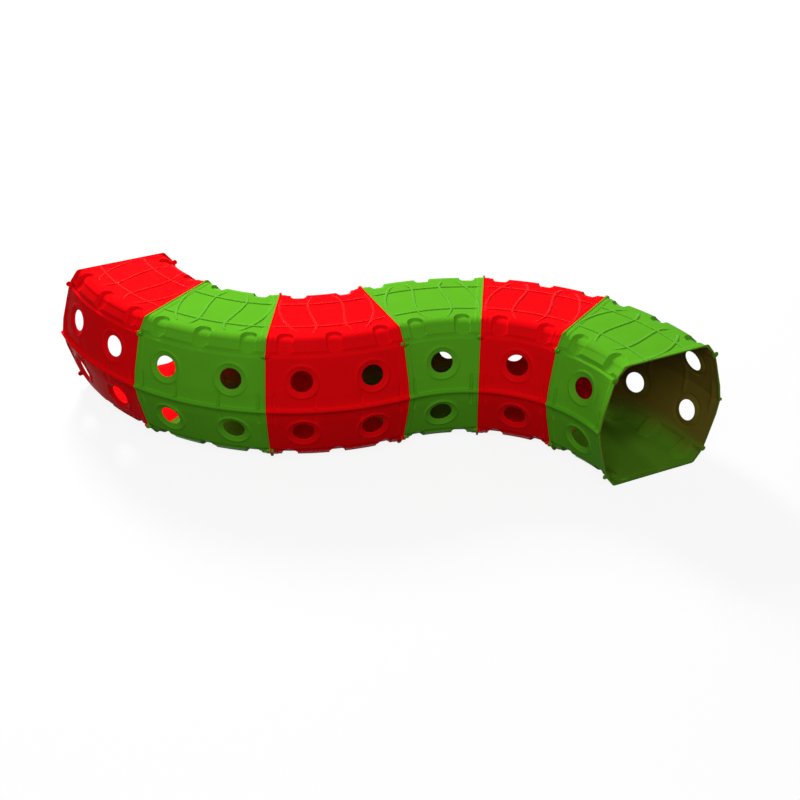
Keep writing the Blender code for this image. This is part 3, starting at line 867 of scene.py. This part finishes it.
def module_inputs(number, upper, material):
    """Inputs of the bend for one half of a module."""
    centre, angle, _ = along_tunnel(number - MODULES / 2 - 0.5)
    return {"Middle angle": angle, "Way up": 1.0 if upper else -1.0,
            "Bend centre": (centre.x, centre.y, SEAM_LEVEL), "Material": material}


def colour_name(slot):
    """The colour that a slot is named after."""
    return slot.split("_")[0]


def build_shells(plastics):
    """The twelve half shells, each in place of its solid."""
    tree = bend_tree()
    straight = straight_shell()
    for number in range(1, MODULES + 1):
        slot = list(plastics)[(number - 1) % 2]
        for half in ("upper", "lower"):
            values = module_inputs(number, half == "upper", plastics[slot])
            name = f"{half}_moulding_{number}"
            piece(name, grown(name, straight, tree, values), [f"{half}_shell_{number}"])
    bpy.data.meshes.remove(straight)


def rib_paths():
    """The middle lines of the ribs on a straight shell, a little under their tops."""
    level = WALL_CORNERS[-1][1] + (RIB_HEIGHT - RIB_ROOT) / 2
    half_length = BEND_RADIUS * HALF_ANGLE
    points, edges, scales = [], [], []

    def add(path, end_scale):
        edges.extend((len(points) + i, len(points) + i + 1) for i in range(len(path) - 1))
        points.extend(path)
        scales.extend([end_scale] + [1.0] * (len(path) - 2) + [end_scale])

    for side in (-1, 1):
        offset = side * LONG_RIB_OFFSET
        end = half_length - RIB_END_DEPTH * BEND_RADIUS / (BEND_RADIUS + offset)
        add([(offset, -end, level), (offset, end, level)], 1.0)
        for shares in WAVE_SHARES:
            levels = [level - RIB_END_DROP] + [level] * (len(shares) - 2) + [level - RIB_END_DROP]
            add([(a * ROOF_HALF_WIDTH, side * b * half_length, z) for (a, b), z in zip(shares, levels)],
                RIB_END_SCALE)
    mesh = bpy.data.meshes.new("rib_paths")
    mesh.from_pydata(points, edges, [])
    mesh.attributes.new("radius", "FLOAT", "POINT").data.foreach_set("value", scales)
    return mesh


def build_ribs(plastics):
    """The ribs on every roof and floor, one piece for each colour."""
    tree = rib_tree()
    paths = rib_paths()
    for first, (slot, material) in enumerate(plastics.items()):
        meshes = [grown("ribs", paths, tree, module_inputs(number, upper, material))
                  for number in range(first + 1, MODULES + 1, 2) for upper in (True, False)]
        name = f"{colour_name(slot)}_roof_ribs"
        piece(name, joined(name, meshes))


def points_facing(name, places):
    """A mesh of loose points that each say which way they face."""
    mesh = bpy.data.meshes.new(name)
    mesh.from_pydata([place for place, _ in places], [], [])
    facing = mesh.attributes.new("facing", "FLOAT_VECTOR", "POINT")
    facing.data.foreach_set("vector", np.array([way for _, way in places]).ravel())
    return mesh


def on_bend(centre, angle, across, up, along=0.0):
    """A place on a bend, with the way along it: across from the middle line, up from the seam."""
    spoke = Vector((math.cos(angle), math.sin(angle), 0))
    forward = Vector((-spoke.y, spoke.x, 0))
    level = Vector((0, 0, SEAM_LEVEL + up))
    return centre + spoke * (BEND_RADIUS + across) + forward * along + level, forward


def build_heads(name, material, places, tree, sizes, sides, bevel, nodes=()):
    """One piece of heads of one colour."""
    values = dict(sizes, Sides=sides, Material=material)
    mesh = grown(name, points_facing(name, places), tree, values, bevel=bevel)
    mesh.shade_smooth()
    mesh.set_sharp_from_angle(angle=HEAD_SQUARE_EDGE)
    piece(name, mesh, nodes)


def knob_places(number, before):
    """Where the knobs on one side of a joint sit and which way they face."""
    centre, angle, side = along_tunnel(number - MODULES / 2)
    way = -1 if before else 1
    places = {}
    for level, up in (("upper", 1), ("lower", -1)):
        for hand, across in (("left", -1), ("right", 1)):
            place, forward = on_bend(centre, angle, side * across * BOLT_CENTRE[0], up * BOLT_CENTRE[1],
                                     side * way * KNOB_SEAT)
            kind = "bolt" if before else "nut"
            places[f"joint_{number}_{kind}_{level}_{hand}"] = (place, forward * side * way)
    return places


def build_knobs(plastics, tree):
    """A knob on each side of every lug pair, in the colour of the module that it sits on."""
    slots = list(plastics)
    places = {slot: {} for slot in slots}
    for number in range(1, MODULES):
        for before in (True, False):
            own = slots[(number - (1 if before else 0)) % 2]
            for node, spot in knob_places(number, before).items():
                places[slots[1] if node in GREEN_FASTENERS else own][node] = spot
    for slot, spots in places.items():
        build_heads(f"{colour_name(slot)}_knobs", plastics[slot], list(spots.values()), tree,
                    KNOB_SIZES, KNOB_SIDES, KNOB_EDGE, list(spots))


def build_seam_fasteners(plastics, tree):
    """A small head over and under the seam lips at each fastener, in the module's colour."""
    for first, (slot, material) in enumerate(plastics.items()):
        places = []
        for number in range(first + 1, MODULES + 1, 2):
            centre, middle, _ = along_tunnel(number - MODULES / 2 - 0.5)
            for side, angles in SEAM_FASTENER_ANGLES.items():
                across = side * SEAM_FASTENER_OFFSET
                for angle in angles:
                    for up in (-1, 1):
                        place, _ = on_bend(centre, middle + angle, across, up * SEAM_SEAT)
                        places.append((place, Vector((0, 0, up))))
        build_heads(f"{colour_name(slot)}_seam_fasteners", material, places, tree,
                    SEAM_SIZES, SEAM_SIDES, SEAM_EDGE)


def shader_node(tree, kind, inputs):
    """A shader node with some of its inputs set."""
    node = tree.nodes.new(kind)
    for label, value in inputs.items():
        node.inputs[label].default_value = value
    return node


def ramp_node(tree, value, given, wanted=(0.0, 1.0)):
    """A value brought from one range to another."""
    ranges = {"From Min": given[0], "From Max": given[1], "To Min": wanted[0], "To Max": wanted[1]}
    ramp = shader_node(tree, "ShaderNodeMapRange", ranges)
    tree.links.new(value, ramp.inputs["Value"])
    return ramp


def colour_with_painted_inner_shade(tree, place, colour, wall, floor):
    """One colour outside, and painted shade on the inner surface: the darker colour of its walls and the
    lighter colour of its floor, where light falls in, blended by height.
    """
    parts = tree.nodes.new("ShaderNodeSeparateXYZ")
    tree.links.new(place.outputs["Object"], parts.inputs[0])
    rise = ramp_node(tree, parts.outputs["Z"], PAINTED_SHADE_RISE)
    inner_shade_mask = tree.nodes.new("ShaderNodeAttribute")
    inner_shade_mask.attribute_name = "inside"
    inner = shader_node(tree, "ShaderNodeMixRGB", {"Color1": (*floor, 1.0), "Color2": (*wall, 1.0)})
    tree.links.new(rise.outputs["Result"], inner.inputs["Fac"])
    whole = shader_node(tree, "ShaderNodeMixRGB", {"Color1": (*colour, 1.0)})
    tree.links.new(inner.outputs["Color"], whole.inputs["Color2"])
    tree.links.new(inner_shade_mask.outputs["Fac"], whole.inputs["Fac"])
    return whole.outputs["Color"]


def moulded_plastic(name, gloss_level, colour, wall, floor):
    """Moulded polyethylene: one colour with a faint mottle and sheen and a fine orange peel, painted darker
    on the inner surface as shade.
    """
    material = bpy.data.materials.new(name)
    material.use_nodes = True
    tree = material.node_tree
    shader = tree.nodes["Principled BSDF"]
    shader.inputs["Metallic"].default_value = 0.0
    shader.inputs["IOR"].default_value = PLASTIC_INDEX
    shader.inputs["Specular IOR Level"].default_value = gloss_level
    place = tree.nodes.new("ShaderNodeTexCoord")
    mottle, sheen, peel, sag = (shader_node(tree, "ShaderNodeTexNoise", grain)
                                for grain in (MOTTLE, SHEEN, PEEL, SAG))
    for texture in (mottle, sheen, peel, sag):
        tree.links.new(place.outputs["Object"], texture.inputs["Vector"])
    tone = ramp_node(tree, mottle.outputs["Fac"], (0.0, 1.0), MOTTLE_TONES)
    tint = tree.nodes.new("ShaderNodeHueSaturation")
    # Painted shade: the base colour is darker on the inner surface.
    tree.links.new(colour_with_painted_inner_shade(tree, place, colour, wall, floor), tint.inputs["Color"])
    tree.links.new(tone.outputs["Result"], tint.inputs["Value"])
    tree.links.new(tint.outputs["Color"], shader.inputs["Base Color"])
    roughness = ramp_node(tree, sheen.outputs["Fac"], (0.0, 1.0), SHEEN_ROUGHNESS)
    tree.links.new(roughness.outputs["Result"], shader.inputs["Roughness"])
    broad = shader_node(tree, "ShaderNodeBump", SAG_BUMP)
    fine = shader_node(tree, "ShaderNodeBump", PEEL_BUMP)
    tree.links.new(sag.outputs["Fac"], broad.inputs["Height"])
    tree.links.new(broad.outputs["Normal"], fine.inputs["Normal"])
    tree.links.new(peel.outputs["Fac"], fine.inputs["Height"])
    tree.links.new(fine.outputs["Normal"], shader.inputs["Normal"])
    return material


def plastics_of(kind, gloss_level):
    """The plastic of each slot, for one kind of surface."""
    return {slot: moulded_plastic(f"{slot}{kind}_finish", gloss_level, *colours)
            for slot, colours in COLOURS.items()}


def seen_directly(tree):
    """1 for rays that come from the camera, a reflection or glass, and 0 for the rest."""
    path = tree.nodes.new("ShaderNodeLightPath")
    first = math_node(tree, "MAXIMUM", path.outputs["Is Camera Ray"], path.outputs["Is Glossy Ray"])
    return math_node(tree, "MAXIMUM", first, path.outputs["Is Transmission Ray"])


def build_world():
    """White to the eye, and a dim even light to everything else."""
    world = bpy.data.worlds.new("studio")
    bpy.context.scene.world = world
    world.use_nodes = True
    tree = world.node_tree
    background = tree.nodes["Background"]
    background.inputs["Color"].default_value = (1.0, 1.0, 1.0, 1.0)
    extra = math_node(tree, "MULTIPLY", seen_directly(tree), 1.0 - WORLD_LIGHT)
    tree.links.new(math_node(tree, "ADD", extra, WORLD_LIGHT), background.inputs["Strength"])


def floor_glow(tree):
    """The light that the floor shows to the eye, which rises to white far from the tunnel."""
    place = tree.nodes.new("ShaderNodeTexCoord")
    distance = tree.nodes.new("ShaderNodeVectorMath")
    distance.operation = "LENGTH"
    tree.links.new(place.outputs["Object"], distance.inputs[0])
    fade = ramp_node(tree, distance.outputs["Value"], FLOOR_FADE, (FLOOR_GLOW, FAR_FLOOR_GLOW))
    fade.interpolation_type = "SMOOTHSTEP"
    return math_node(tree, "MULTIPLY", seen_directly(tree), fade.outputs["Result"])


def build_floor():
    """A white floor that takes the tunnel's shadow but throws little light back up."""
    mesh = bpy.data.meshes.new("floor")
    corners = [(x * FLOOR_REACH, y * FLOOR_REACH, 0) for x, y in ((-1, -1), (1, -1), (1, 1), (-1, 1))]
    mesh.from_pydata(corners, [], [(0, 1, 2, 3)])
    floor = bpy.data.objects.new("floor", mesh)
    bpy.context.scene.collection.objects.link(floor)
    material = bpy.data.materials.new("white_floor")
    material.use_nodes = True
    tree = material.node_tree
    shader = tree.nodes["Principled BSDF"]
    shader.inputs["Base Color"].default_value = (FLOOR_TONE, FLOOR_TONE, FLOOR_TONE, 1.0)
    shader.inputs["Roughness"].default_value = FLOOR_ROUGHNESS
    shader.inputs["Specular IOR Level"].default_value = 0.0
    shader.inputs["Emission Color"].default_value = (1.0, 1.0, 1.0, 1.0)
    tree.links.new(floor_glow(tree), shader.inputs["Emission Strength"])
    mesh.materials.append(material)


def build_lights():
    """Soft boxes behind and in front of the tunnel. The key is kept out of the reflections."""
    for name, (place, target, width, height, power) in SOFT_BOXES.items():
        light = bpy.data.lights.new(name, "AREA")
        light.shape = "RECTANGLE"
        light.size = width
        light.size_y = height
        light.energy = power
        lamp = bpy.data.objects.new(name, light)
        lamp.location = place
        lamp.rotation_euler = (Vector(target) - Vector(place)).to_track_quat("-Z", "Y").to_euler()
        bpy.context.scene.collection.objects.link(lamp)
        lamp.visible_glossy = name != "key"


def build_camera():
    """The photograph's camera."""
    data = bpy.data.cameras.new("camera")
    data.sensor_width = SENSOR_WIDTH
    data.lens = FOCAL_PIXELS / IMAGE_PIXELS * SENSOR_WIDTH
    data.clip_end = CLIP_END
    camera = bpy.data.objects.new("camera", data)
    turn = Matrix.Rotation(CAMERA_AZIMUTH, 4, "Z")
    turn = turn @ Matrix.Rotation(math.pi / 2 - CAMERA_ELEVATION, 4, "X")
    turn = turn @ Matrix.Rotation(CAMERA_ROLL, 4, "Z")
    camera.matrix_world = Matrix.Translation(CAMERA_PLACE) @ turn
    bpy.context.scene.collection.objects.link(camera)
    bpy.context.scene.camera = camera


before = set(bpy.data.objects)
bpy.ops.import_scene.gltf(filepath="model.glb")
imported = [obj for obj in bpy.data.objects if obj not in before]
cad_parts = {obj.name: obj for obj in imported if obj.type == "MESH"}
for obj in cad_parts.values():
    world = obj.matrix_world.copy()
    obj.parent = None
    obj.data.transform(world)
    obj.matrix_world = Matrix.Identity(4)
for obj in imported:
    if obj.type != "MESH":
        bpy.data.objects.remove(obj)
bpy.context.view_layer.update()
bpy.context.scene.view_settings.view_transform = "Standard"
build_camera()
build_world()
build_lights()
build_floor()

PLASTICS = plastics_of("", GLOSS_LEVEL)
build_shells(PLASTICS)
build_ribs(plastics_of("_rib", RIB_GLOSS_LEVEL))
FASTENER_TREE = fastener_tree()
build_knobs(PLASTICS, FASTENER_TREE)
build_seam_fasteners(PLASTICS, FASTENER_TREE)
